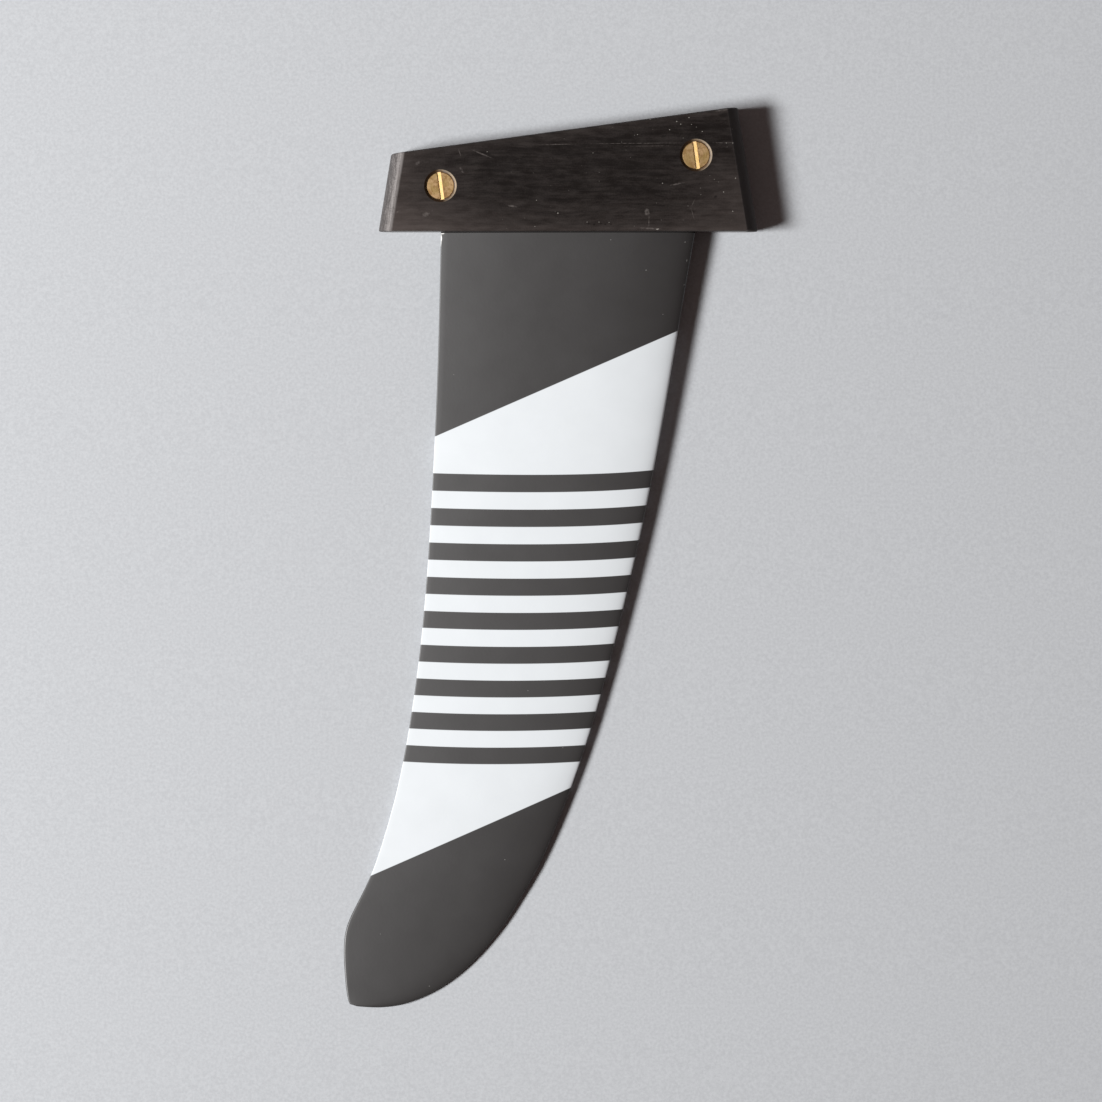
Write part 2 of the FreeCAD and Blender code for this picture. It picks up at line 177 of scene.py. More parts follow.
def blade_surface(rows=260, round_columns=9, arc_columns=26, nose_columns=22, tip_rows=8):
    """Points of the foil as a grid of rows down the blade and columns round the section.

    At depth row u the chord runs from T(u) on the trailing edge to L(u) on the leading
    edge. A column at share s of the chord is T + s*(L - T), raised and lowered by the half
    thickness: a circular arc from the trailing edge up to the thickest place, then the
    ellipse sqrt(1 - ((s - peak)/nose)^2). Close to the trailing edge it is drawn in by
    sqrt(1 - (1 - x/w)^2), where x is the way in from the edge and w its rounding, at most a
    quarter of the chord, and at the very tip by the same formula along the rows. The first
    two rows are sunk by the depth of the glue seam."""
    places = CHORD_LINES * [BLADE_DEPTH, ROOT_CHORD, BLADE_DEPTH, ROOT_CHORD]
    edges = np.stack([places[:, 1], -places[:, 0], places[:, 3], -places[:, 2]], axis=1)
    moves = np.diff(edges, axis=0)
    travel = np.hypot(moves[:, 0], moves[:, 1]) + np.hypot(moves[:, 2], moves[:, 3])
    stations = np.concatenate([[0], np.cumsum(travel / 2)])
    end = stations[-1]
    seam = SEAM_WIDTH * np.array([0, 0.9, 1])
    even = np.linspace(SEAM_WIDTH * 1.2, end - TIP_ROUNDING, rows)
    tip = end - TIP_ROUNDING * (1 - np.sin(np.linspace(0, np.pi / 2, tip_rows)))[1:]
    wanted = np.concatenate([seam, even, tip])
    edge_points = spline_through(stations, edges, wanted)
    trail = edge_points[:, :2]
    lead = edge_points[:, 2:]
    chord = np.hypot(*(lead - trail).T)[:, None]
    depth = -(trail[:, 1] + lead[:, 1]) / 2

    in_tip = smoothstep(TIP_EDGE_START, TIP_EDGE_FULL, -trail[:, 1])
    edge = EDGE_THICKNESS + (TIP_EDGE_THICKNESS - EDGE_THICKNESS) * in_tip
    rounding = EDGE_ROUNDING + (TIP_EDGE_ROUNDING - EDGE_ROUNDING) * in_tip
    fullness = chord[:, 0] / ROOT_CHORD * (1 - TIP_THINNING * depth / BLADE_DEPTH)
    half = (EDGE_THICKNESS + (ROOT_THICKNESS - EDGE_THICKNESS) * fullness) / 2
    edge, rounding, half = (array[:, None] for array in (edge, rounding, half))
    rounding = np.minimum(rounding, chord / 4)

    turn = np.linspace(0, np.pi / 2, round_columns)
    from_edge = rounding * (1 - np.cos(turn))
    along_arc = np.linspace(0, 1, arc_columns + 1)[1:]
    peak = (1 - NOSE_SHARE) * chord
    on_arc = rounding + along_arc * (peak - rounding)
    swing = np.linspace(0, np.pi / 2, nose_columns + 1)[1:]
    on_nose = peak + NOSE_SHARE * chord * np.sin(swing)
    run = np.concatenate([from_edge, on_arc, on_nose], axis=1)

    rise = half - np.minimum(edge, half) / 2
    bow = (peak**2 + rise**2) / (2 * rise)
    back = np.clip(peak - run, 0, None)
    ahead = np.clip((run - peak) / (NOSE_SHARE * chord), 0, 1)
    height = half - (bow - np.sqrt(bow**2 - back**2))
    height = np.where(run > peak, half * np.sqrt(1 - ahead**2), height)
    draw_in = np.clip(1 - run / rounding, 0, 1)
    height = height * np.sqrt(1 - draw_in**2)
    into_tip = np.clip((wanted - (end - TIP_ROUNDING)) / TIP_ROUNDING, 0, 1)[:, None]
    height = height * np.sqrt(1 - into_tip**2)
    height[:2] -= SEAM_DEPTH
    height = np.clip(height, 0, None)

    share = run / chord
    flat = trail[:, None, :] + share[..., None] * (lead - trail)[:, None, :]
    upper = np.concatenate([flat, height[..., None]], axis=2)
    lower = np.concatenate([flat, -height[..., None]], axis=2)[:, ::-1]
    shares = np.concatenate([share, share[:, ::-1]], axis=1)
    return np.concatenate([upper, lower], axis=1), shares


def grid_faces(rows, columns):
    """Four-sided faces between neighbouring points of a grid, stored row by row."""
    corner = np.arange((rows - 1) * columns).reshape(rows - 1, columns)[:, :-1]
    return np.stack(
        [corner, corner + 1, corner + columns + 1, corner + columns], axis=-1).reshape(-1, 4)


def new_piece(name, points, faces):
    """An object in the scene from an array of points and an array of faces."""
    mesh = bpy.data.meshes.new(name)
    mesh.from_pydata(points.tolist(), [], faces.tolist())
    piece = bpy.data.objects.new(name, mesh)
    bpy.context.scene.collection.objects.link(piece)
    return piece


def close_skin(piece, weld=1e-6):
    """Weld the seams, fill the ring that is still open, and turn the faces outwards."""
    skin = bmesh.new()
    skin.from_mesh(piece.data)
    bmesh.ops.remove_doubles(skin, verts=skin.verts, dist=weld)
    bmesh.ops.dissolve_degenerate(skin, edges=skin.edges, dist=weld)
    rim = [edge for edge in skin.edges if edge.is_boundary]
    bmesh.ops.holes_fill(skin, edges=rim)
    bmesh.ops.recalc_face_normals(skin, faces=skin.faces)
    skin.to_mesh(piece.data)
    skin.free()
    piece.data.polygons.foreach_set("use_smooth", [True] * len(piece.data.polygons))


def add_tang(blade):
    """A plain block from the root up into the head, with flat faces and sharp corners."""
    skin = bmesh.new()
    skin.from_mesh(blade.data)
    middle = Matrix.Translation((0, TANG_SIZE[1] / 2, 0))
    bmesh.ops.create_cube(skin, size=1, matrix=middle @ Matrix.Diagonal((*TANG_SIZE, 1)))
    skin.to_mesh(blade.data)
    skin.free()


def make_blade():
    """The foil as one closed skin and its tang. Each point keeps its share of the chord,
    which the paint reads."""
    points, shares = blade_surface()
    blade = new_piece("blade_skin", points.reshape(-1, 3), grid_faces(*shares.shape))
    chord_share = blade.data.attributes.new("chord_share", "FLOAT", "POINT")
    chord_share.data.foreach_set("value", shares.ravel())
    close_skin(blade)
    add_tang(blade)
    return blade


def add_node(tree, kind, inputs=None, **settings):
    """A node with its settings, its sockets set to numbers or linked to other sockets."""
    node = tree.nodes.new(kind)
    for setting, choice in settings.items():
        setattr(node, setting, choice)
    for socket, given in (inputs or {}).items():
        if isinstance(given, bpy.types.NodeSocket):
            tree.links.new(given, node.inputs[socket])
        else:
            node.inputs[socket].default_value = given
    return node


def maths(tree, operation, *given):
    """The result of a Math node on numbers or sockets."""
    return add_node(
        tree, "ShaderNodeMath", dict(enumerate(given)), operation=operation).outputs[0]


def sum_of(tree, *given):
    """The sum of two or more values."""
    total = given[0]
    for value in given[1:]:
        total = maths(tree, "ADD", total, value)
    return total


def product_of(tree, *given):
    """The product of two or more values."""
    total = given[0]
    for value in given[1:]:
        total = maths(tree, "MULTIPLY", total, value)
    return total


def vector_maths(tree, operation, *given):
    """The result of a Vector Math node: a length for LENGTH, and else a vector."""
    node = add_node(
        tree, "ShaderNodeVectorMath", dict(enumerate(given)), operation=operation)
    return node.outputs["Value" if operation == "LENGTH" else "Vector"]


def scaled(tree, vector, factor):
    """A vector or a colour times a value."""
    return add_node(tree, "ShaderNodeVectorMath", {
        0: vector, "Scale": factor}, operation="SCALE").outputs["Vector"]


def ramp(tree, value, low, high, start=0.0, stop=1.0):
    """A straight ramp from start at low to stop at high, and level beyond them."""
    return add_node(tree, "ShaderNodeMapRange", {
        "Value": value, "From Min": low, "From Max": high,
        "To Min": start, "To Max": stop}).outputs["Result"]


def noise(tree, place, scale, detail=2.0, roughness=0.5):
    """Cloudy values between 0 and 1, with an average of a half."""
    return add_node(tree, "ShaderNodeTexNoise", {
        "Vector": place, "Scale": scale, "Detail": detail,
        "Roughness": roughness}).outputs["Fac"]


def blend(tree, factor, first, second):
    """A colour that goes from the first to the second as the factor goes from 0 to 1."""
    mix = add_node(tree, "ShaderNodeMix", {0: factor, 6: first, 7: second}, data_type="RGBA")
    return mix.outputs[2]


def new_material(name):
    """A node material: its node tree, its Principled shader and its Object coordinates."""
    material = bpy.data.materials.new(name)
    material.use_nodes = True
    tree = material.node_tree
    place = add_node(tree, "ShaderNodeTexCoord").outputs["Object"]
    return material, tree, tree.nodes["Principled BSDF"], place


def new_group(name, inputs, outputs):
    """An empty shader node group with named sockets: its tree, its entry and its exit."""
    group = bpy.data.node_groups.new(name, "ShaderNodeTree")
    for socket, kind in inputs.items():
        group.interface.new_socket(socket, in_out="INPUT", socket_type="NodeSocket" + kind)
    for socket, kind in outputs.items():
        group.interface.new_socket(socket, in_out="OUTPUT", socket_type="NodeSocket" + kind)
    return group, group.nodes.new("NodeGroupInput"), group.nodes.new("NodeGroupOutput")


def build_small_mark():
    """Node group: 1 inside an ellipse that lies flat on a side of the fin, 0 outside.

    The place, less the centre, is turned, flattened and divided by the two half lengths.
    The mark shows where the length of that is under about 1, and cloudy noise frays its
    rim."""
    group, entry, leave = new_group(
        "small_mark",
        {"Place": "Vector", "Centre": "Vector", "Turn": "Float", "Reach": "Vector",
         "Fray": "Float"},
        {"Mask": "Float"})
    given = entry.outputs
    offset = vector_maths(group, "SUBTRACT", given["Place"], given["Centre"])
    turned = add_node(group, "ShaderNodeVectorRotate", {
        "Vector": offset, "Angle": given["Turn"]}, rotation_type="Z_AXIS").outputs[0]
    flat = vector_maths(group, "MULTIPLY", turned, (1, 1, 0))
    length = vector_maths(group, "LENGTH", vector_maths(
        group, "DIVIDE", flat, given["Reach"]))
    frayed = maths(group, "ADD", length, given["Fray"])
    group.links.new(ramp(group, frayed, *MARK_RIM), leave.inputs["Mask"])
    return group


SMALL_MARK = build_small_mark()


def on_right_side(tree, height):
    """1 on the right side of the fin and 0 on its left, from the height across it."""
    return ramp(tree, height, 0.0, 0.0001)


def small_marks(tree, place, marks, fray=0.9):
    """The union of small marks given in millimetres and degrees, on the right side only."""
    cloud = noise(tree, place, MARK_GRAIN)
    rim = maths(tree, "MULTIPLY_ADD", cloud, fray, -fray / 2)
    union = None
    for x, y, half_length, half_width, turn in marks:
        mark = add_node(tree, "ShaderNodeGroup", node_tree=SMALL_MARK)
        for socket, link in (("Place", place), ("Fray", rim)):
            tree.links.new(link, mark.inputs[socket])
        mark.inputs["Centre"].default_value = (x / 1000, y / 1000, 0)
        mark.inputs["Turn"].default_value = np.radians(-turn)
        mark.inputs["Reach"].default_value = (half_length / 1000, half_width / 1000, 1)
        mask = mark.outputs["Mask"]
        union = mask if union is None else maths(tree, "MAXIMUM", union, mask)
    height = add_node(tree, "ShaderNodeSeparateXYZ", {0: place}).outputs["Z"]
    return product_of(tree, union, on_right_side(tree, height))


def side_of_line(tree, x, y, start, end):
    """How far a point lies above a straight line through two places, along Y."""
    slope = (end[1] - start[1]) / (end[0] - start[0])
    line = maths(tree, "MULTIPLY_ADD", x, slope, start[1] - slope * start[0])
    return maths(tree, "SUBTRACT", y, line)


def crisp(tree, distance, softness=0.00012):
    """1 where a signed distance is above 0, with an edge of that softness."""
    return ramp(tree, distance, -softness, softness)


def paint_bands(tree, y, share):
    """1 on the nine charcoal bands. They are counted down the blade from the first, they
    sag by 4*s*(1 - s) of the chord share s and lift by s^5 at the leading edge, and their
    pitch shrinks a little with every band. A margin before the first and after the last
    stays white."""
    run = maths(tree, "DIVIDE", maths(tree, "SUBTRACT", FIRST_BAND, y), BAND_PITCH)
    down = ramp(tree, run, 0.0, BAND_COUNT - 1)
    sag = ramp(tree, down, 0.0, 1.0, *BAND_SAG)
    dip = product_of(tree, 4.0, share, maths(tree, "SUBTRACT", 1.0, share), sag)
    lift_here = ramp(tree, down, 0.0, 1.0, BAND_LIFT, 0.0)
    lift = product_of(tree, maths(tree, "POWER", share, 5.0), lift_here)
    shift = maths(tree, "DIVIDE", maths(tree, "SUBTRACT", lift, dip), BAND_PITCH)
    level = sum_of(tree, run, shift)
    count = product_of(tree, level, maths(tree, "MULTIPLY_ADD", level, PITCH_CREEP, 1.0))
    half_dark = DARK_SHARE / 2
    from_middle = maths(tree, "ABSOLUTE", maths(
        tree, "SUBTRACT", maths(tree, "FRACT", count), half_dark))
    band = crisp(tree, maths(tree, "SUBTRACT", half_dark, from_middle), BAND_SOFTNESS)
    started = crisp(tree, sum_of(tree, count, BAND_MARGIN), BAND_SOFTNESS)
    stopped = crisp(tree, maths(
        tree, "SUBTRACT", BAND_COUNT - BAND_MARGIN, count), BAND_SOFTNESS)
    return product_of(tree, band, started, stopped)


def blade_paint():
    """Charcoal and white satin paint laid out on the blade, with chips, dust and texture."""
    material, tree, shader, place = new_material("blade_paint")
    split = add_node(tree, "ShaderNodeSeparateXYZ", {0: place})
    x, y = split.outputs["X"], split.outputs["Y"]
    share = add_node(
        tree, "ShaderNodeAttribute", attribute_name="chord_share").outputs["Fac"]
    above_upper = side_of_line(tree, x, y, *UPPER_LINE)
    below_upper = crisp(tree, product_of(tree, above_upper, -1))
    above_lower = crisp(tree, side_of_line(tree, x, y, *LOWER_LINE))
    bands = paint_bands(tree, y, share)
    white = product_of(
        tree, below_upper, above_lower, maths(tree, "SUBTRACT", 1.0, bands))
    dark = blend(tree, bands, CHARCOAL, BAND_CHARCOAL)
    colour = blend(tree, white, dark, WHITE)

    cloud = noise(tree, place, PAINT_CLOUDS, detail=5.0, roughness=0.6)
    colour = scaled(tree, colour, ramp(tree, cloud, *CLOUD_SPREAD, *PAINT_SHADE))
    colour = blend(tree, small_marks(tree, place, BLADE_DUST), colour, DUST)
    colour = blend(tree, small_marks(tree, place, ROOT_CHIPS), colour, BARE_EDGE)
    tree.links.new(colour, shader.inputs["Base Color"])
    satin = ramp(tree, cloud, *CLOUD_SPREAD, *SATIN_ROUGHNESS)
    matt = product_of(tree, white, WHITE_IS_DULLER)
    tree.links.new(sum_of(tree, satin, matt), shader.inputs["Roughness"])
    shader.inputs["Specular IOR Level"].default_value = 1.0
    peel = add_node(tree, "ShaderNodeBump", {
        "Strength": PEEL_STRENGTH, "Distance": PEEL_DEPTH,
        "Height": noise(tree, place, PEEL_GRAIN)})
    tree.links.new(peel.outputs["Normal"], shader.inputs["Normal"])
    return material


blade = make_blade()
blade.data.materials.append(blade_paint())
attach(blade, "root")
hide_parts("blade")


# Head: a block of black fabric and epoxy laminate, machined to the taper of the box in the
# board and sanded by hand. The flanks are polished by use, the round ends are bare and
# dull, and the mouths of the nut bores are cut back to the pale inner layers.
END_TAPER = np.radians(9.3)
TOP_SLOPE = np.radians(7.7)
FOOT_HALF = 0.0829
END_RADIUS = 0.0105
TOP_MIDDLE = 0.0442
BORE_MOUTH = 0.00706
NUTS = ("barrel_nut_rear", "barrel_nut_front")
NUT_CENTRES = [(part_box(name)[0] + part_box(name)[1]) / 2 for name in NUTS]

# The flat flank ends at the foot where the arc of the round end, drawn across the half
# thickness of the head, has its edge.
HEAD_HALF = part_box("fin_head")[1][2]
END_BULGE = END_RADIUS - np.sqrt(END_RADIUS**2 - HEAD_HALF**2)
FLANK_END = FOOT_HALF - END_BULGE / np.cos(END_TAPER)

DEEP_BLACK = (0.0045, 0.0026, 0.0020, 1)
WORN_AND_LIT_BLACK = (0.072, 0.0575, 0.052, 1)
PAINTED_CORNER_HIGHLIGHT = (0.225, 0.205, 0.197, 1)
SANDED_END = (0.062, 0.055, 0.053, 1)
FRONT_RIM = (0.022, 0.0165, 0.016, 1)
PALE_SCRATCH = (0.16, 0.14, 0.13, 1)
PALE_LAMINATE = (0.31, 0.25, 0.18, 1)
BROWN_LAMINATE = (0.13, 0.085, 0.05, 1)
SHADED_MOUTH = (0.030, 0.014, 0.006, 1)
FLANK_DUST = (0.33, 0.31, 0.28, 1)

# Fibres, patches, streaks and blotches: how many to the metre along X, Y and Z, and how far
# in metres they wander.
FLANK_FIBRES = (70.0, 1000.0, 70.0)
FLANK_PATCHES = (130.0, 380.0, 130.0)
FLANK_WANDER = 0.007
END_STREAKS = (1300.0, 75.0, 1300.0)
END_BLOTCHES = (600.0, 130.0, 600.0)
END_WANDER = 0.001
DRIFT_GRAIN = 15.0
FUZZ_GRAIN = 1700.0

# Wear and painted light: from which value, place or height to which, and how much at each,
# or else 0 and 1. The grain and the strips along the edges are wear; the lighter flank
# towards the rear on the lamp side, along the foot and at the front below the nut is painted
# light.
FIBRE_WEAR = (0.36, 0.68, -0.04, 0.14)
PATCH_WEAR = (0.38, 0.68, -0.03, 0.11)
FUZZ_WEAR = (0.32, 0.68, -0.06, 0.06)
REAR_PAINTED_LIGHT = (-0.034, -0.072, 0.0, 0.3)
REAR_LESS_UP = (0.036, 0.024, 0.4, 1.0)
REAR_STRIP_WEAR = (-0.064, -0.072, 0.0, 0.1)
FOOT_PAINTED_LIGHT = (-0.012, -0.062, 0.15, 0.35)
FOOT_LESS_UP = (0.0165, 0.004)
FOOT_STRIP_WEAR = (0.003, 0.0015, 0.0, 0.16)
FRONT_PAINTED_LIGHT = (0.040, 0.072, 0.0, 0.26)
FRONT_LESS_UP = (0.036, 0.024)
TOP_LINE = ((0.0, TOP_MIDDLE), (1.0, TOP_MIDDLE + np.tan(TOP_SLOPE)))
TOP_STRIP_WEAR = (-0.006, 0.0, 0.0, 0.16)

PIT_SHADE = 0.85
SCRATCH_FRAY = 1.4
SCRATCH_GRAIN = 700.0
SCRATCH_SHOW = (0.35, 0.6, 0.08, 0.5)
DUST_CELLS = 520.0
DUST_SHARE = 0.16
DUST_HEART = (0.13, 0.06)
DUST_SHOW = (-0.02, 0.06, 0.12, 0.4)

# Sanded ends: how far the sanding runs over the flank at the rear and at the front, and
# from where to where past that line each change comes.
MIDDLE_STRIP = (-0.01, 0.01)
SANDED_OVER = (0.0012, -0.0004)
BORDER_START = (-0.0003, -0.0012)
BORDER_END = (0.0006, 0.0010)
# At the rear end a highlight is painted pale along the corner with the flank, fading
# outwards over this reach.
CORNER_HIGHLIGHT_REACH = (0.0009, 0.0046)
STREAKED = (0.38, 0.62, -0.4, 0.4)
FUZZED = (0.35, 0.65, -0.25, 0.25)
BLOTCHED = (0.52, 0.75, 0.0, 0.45)
DARK_RIM_REACH = (-0.0004, 0.0002)

# Countersinks: the side whose cut faces the lamp, where the layers show in painted light,
# how that side begins, and how far out the border of the pale layer lies, which moves in
# towards the middle of that side as a painted highlight. The other side is painted shade.
LIT_SIDE = np.radians(14)
SIDE_CHANGE = (-0.0008, 0.0008)
LAYER_GRAIN = 900.0
LAYER_RAGGED = (0.3, 0.7, -0.0002, 0.0002)
LAYER_BORDER = (0.0, 0.006, -0.0068, -0.0062)
LAYER_CHANGE = (0.0, 0.0004)
MOUTH_BLOTCHED = (0.5, 0.7)

POLISHED_ROUGHNESS = (0.3, 0.7, 0.34, 0.42)
CUT_IS_DULLER = 0.16
FRONT_IS_DULLER = 0.4
LAMINATE_RELIEF = 0.00004
RELIEF_STRENGTH = 0.3

HEAD_DUST = (
    (52.6, 49.4, 0.23, 0.2, 0),
    (47.3, 47.7, 0.24, 0.19, 0),
    (49.0, 46.5, 0.22, 0.18, 0),
    (53.7, 46.4, 0.17, 0.14, 0),
    (44.2, 44.1, 0.24, 0.18, 0),
    (35.7, 48.6, 0.2, 0.16, 0),
    (30.2, 42.0, 0.16, 0.14, 0),
    (58.4, 43.3, 0.2, 0.18, 0),
    (71.5, 44.4, 0.23, 0.18, 60),
    (71.7, 38.3, 0.24, 0.2, 0),
    (68.9, 38.3, 0.2, 0.12, 0),
    (72.9, 23.0, 0.24, 0.2, 0),
    (67.7, 17.0, 0.23, 0.2, 0),
    (71.7, 8.6, 0.23, 0.19, 0),
    (41.1, 20.8, 0.2, 0.16, 0),
    (-4.5, 7.8, 0.27, 0.23, 0),
    (-13.8, 13.4, 0.16, 0.14, 0),
    (-14.5, 2.0, 0.16, 0.14, 0),
    (10.8, 34.0, 0.14, 0.12, 0),
    (38.9, 0.8, 0.61, 0.2, 10),
    (8.2, 3.9, 0.18, 0.14, 0),
    (13.4, 3.9, 0.18, 0.14, 0),
    (17.8, 3.7, 0.16, 0.14, 0),
    (-35.3, 34.5, 0.15, 0.14, 0),
)
HEAD_SCRATCHES = (
    (-37.5, 33.5, 4.2, 0.3, -23),
    (-47.3, 34.1, 1.5, 0.16, -72),
    (-46.4, 26.5, 1.3, 0.5, -55),
    (-65.6, 29.6, 1.0, 0.6, 20),
    (-74.0, 8.6, 1.0, 0.35, 28),
    (-24.2, 10.8, 1.9, 0.4, -10),
    (-5.1, 37.7, 8.0, 0.14, 1),
    (30.7, 38.2, 20.0, 0.12, 0.4),
    (34.5, 37.0, 11.0, 0.09, 0.4),
    (67.7, 38.4, 4.6, 0.14, 0),
    (34.3, 8.7, 0.9, 0.9, 0),
    (34.4, 7.6, 1.0, 0.7, 0),
    (35.2, 4.7, 2.3, 0.22, 88),
    (36.0, 1.1, 4.3, 0.3, -3),
    (54.3, 11.9, 2.3, 0.1, 65),
    (54.3, 7.3, 2.7, 0.1, -74),
    (67.1, 52.6, 2.7, 0.4, 7.7),
    (-62.0, 7.2, 1.5, 0.9, 15),
    (47.5, 20.5, 3.0, 0.3, 12),
)
HEAD_PITS = (
    (8.9, 3.2, 0.45, 0.35, 0),
    (11.3, 2.8, 0.5, 0.4, 0),
    (14.2, 3.2, 0.45, 0.35, 0),
    (16.2, 2.9, 0.5, 0.4, 0),
    (18.6, 3.0, 0.45, 0.35, 0),
    (41.6, 41.2, 1.3, 0.5, 10),
    (48.0, 41.1, 0.8, 0.4, 0),
    (64.2, 15.0, 0.7, 0.5, 20),
    (68.6, 34.9, 2.6, 0.7, 5),
    (68.4, 50.6, 2.6, 1.0, 7.7),
)


def build_fine_dust():
    """Node group: 1 at the heart of some of the cells of a cell pattern, and 0 elsewhere.

    A heart is where the distance to the cell's point is small, and a cell is chosen where
    its own chance number is below the share."""
    group, entry, leave = new_group(
        "fine_dust", {"Place": "Vector", "Count": "Float", "Share": "Float"},
        {"Mask": "Float"})
    given = entry.outputs
    cells = add_node(group, "ShaderNodeTexVoronoi", {
        "Vector": given["Place"], "Scale": given["Count"]})
    heart = ramp(group, cells.outputs["Distance"], *DUST_HEART)
    chance = add_node(group, "ShaderNodeSeparateColor", {
        0: cells.outputs["Color"]}).outputs["Red"]
    chosen = maths(group, "LESS_THAN", chance, given["Share"])
    group.links.new(product_of(group, heart, chosen), leave.inputs["Mask"])
    return group


FINE_DUST = build_fine_dust()


def fine_dust(tree, place, count, share):
    """Sparse specks: so many cells to the metre, and the share of them with a speck."""
    dust = add_node(tree, "ShaderNodeGroup", node_tree=FINE_DUST)
    tree.links.new(place, dust.inputs["Place"])
    dust.inputs["Count"].default_value = count
    dust.inputs["Share"].default_value = share
    return dust.outputs["Mask"]


def build_laminate_grain():
    """Node group: the drawn-out fibres and the cloudy patches of sanded laminate.

    The place is pushed about by a slow noise, so that the fibres wander. Multiplied by the
    number of fibres or of patches to the metre along each axis, it then drives two noises
    with values from 0 to 1."""
    group, entry, leave = new_group(
        "laminate_grain",
        {"Place": "Vector", "Fibres": "Vector", "Patches": "Vector", "Wander": "Float"},
        {"Fibre": "Float", "Patch": "Float"})
    given = entry.outputs
    drift = add_node(group, "ShaderNodeTexNoise", {
        "Vector": given["Place"], "Scale": DRIFT_GRAIN, "Detail": 1.0}).outputs["Color"]
    centred = vector_maths(group, "SUBTRACT", drift, (0.5, 0.5, 0.5))
    push = scaled(group, centred, given["Wander"])
    place = vector_maths(group, "ADD", given["Place"], push)
    for count, result in (("Fibres", "Fibre"), ("Patches", "Patch")):
        drawn = vector_maths(group, "MULTIPLY", place, given[count])
        group.links.new(noise(group, drawn, 1.0, 5.0, 0.6), leave.inputs[result])
    return group


LAMINATE_GRAIN = build_laminate_grain()


def laminate_grain(tree, place, fibres, patches, wander):
    """The fibres and the patches of a face, for its own counts to the metre and wander."""
    grain = add_node(tree, "ShaderNodeGroup", node_tree=LAMINATE_GRAIN)
    tree.links.new(place, grain.inputs["Place"])
    grain.inputs["Fibres"].default_value = fibres
    grain.inputs["Patches"].default_value = patches
    grain.inputs["Wander"].default_value = wander
    return grain.outputs["Fibre"], grain.outputs["Patch"]


def rear_or_front(tree, in_front, rear, front):
    """A number for the rear and another for the front, by a share that is 1 in front."""
    return ramp(tree, in_front, 0.0, 1.0, rear, front)


def from_nearer_nut(tree, x, y):
    """How far a point lies ahead of and above the axis of the nearer nut, and from it."""
    rear, front = NUT_CENTRES
    in_front = maths(tree, "GREATER_THAN", x, 0.0)
    ahead = maths(tree, "SUBTRACT", x, rear_or_front(tree, in_front, rear[0], front[0]))
    above = maths(tree, "SUBTRACT", y, rear_or_front(tree, in_front, rear[1], front[1]))
    away = add_node(tree, "ShaderNodeCombineXYZ", {0: ahead, 1: above}).outputs[0]
    return ahead, above, vector_maths(tree, "LENGTH", away)


def along(tree, ahead, above, turn):
    """How far a point lies along a direction that is turned upwards from straight ahead."""
    return sum_of(
        tree, product_of(tree, ahead, np.cos(turn)), product_of(tree, above, np.sin(turn)))


def flank_wear_and_light(tree, x, y, fibre, patch, fuzz):
    """How far the flanks go from deep black to the lighter black of wear and painted light:
    wear in the fibres and patches and in strips along the rear end, the foot and under the
    top edge, and painted light towards the rear on the lamp side, along the foot and at the
    front below the nut. The painted light along the foot grows towards the rear too."""
    grain = sum_of(
        tree, ramp(tree, fibre, *FIBRE_WEAR), ramp(tree, patch, *PATCH_WEAR),
        ramp(tree, fuzz, *FUZZ_WEAR))
    rear = product_of(tree, ramp(tree, x, *REAR_PAINTED_LIGHT), ramp(tree, y, *REAR_LESS_UP))
    foot = product_of(tree, ramp(tree, x, *FOOT_PAINTED_LIGHT), ramp(tree, y, *FOOT_LESS_UP))
    front = product_of(tree, ramp(tree, x, *FRONT_PAINTED_LIGHT), ramp(tree, y, *FRONT_LESS_UP))
    strips = sum_of(
        tree, ramp(tree, x, *REAR_STRIP_WEAR), ramp(tree, y, *FOOT_STRIP_WEAR),
        ramp(tree, side_of_line(tree, x, y, *TOP_LINE), *TOP_STRIP_WEAR))
    return sum_of(tree, grain, rear, foot, front, strips)


def flank_colour(tree, place, x, worn_and_lit):
    """The black of wear and painted light, with pits, pale scratches and dust."""
    colour = blend(tree, worn_and_lit, DEEP_BLACK, WORN_AND_LIT_BLACK)
    pits = small_marks(tree, place, HEAD_PITS)
    colour = blend(tree, product_of(tree, pits, PIT_SHADE), colour, DEEP_BLACK)
    scratches = small_marks(tree, place, HEAD_SCRATCHES, SCRATCH_FRAY)
    faint = ramp(tree, noise(tree, place, SCRATCH_GRAIN), *SCRATCH_SHOW)
    colour = blend(tree, product_of(tree, scratches, faint), colour, PALE_SCRATCH)
    fine = product_of(
        tree, fine_dust(tree, place, DUST_CELLS, DUST_SHARE), ramp(tree, x, *DUST_SHOW))
    specks = maths(tree, "MAXIMUM", small_marks(tree, place, HEAD_DUST), fine)
    return blend(tree, specks, colour, FLANK_DUST)


def past_sanding_line(tree, x, y, front_half):
    """How far a point lies past the line where the sanding of the nearer end starts. The
    line is the end of the flat flank, which leans in by the taper, moved by the overrun."""
    lean_in = maths(tree, "MULTIPLY_ADD", y, -np.tan(END_TAPER), FLANK_END)
    beyond_flank = maths(tree, "SUBTRACT", maths(tree, "ABSOLUTE", x), lean_in)
    return sum_of(tree, beyond_flank, rear_or_front(tree, front_half, *SANDED_OVER))


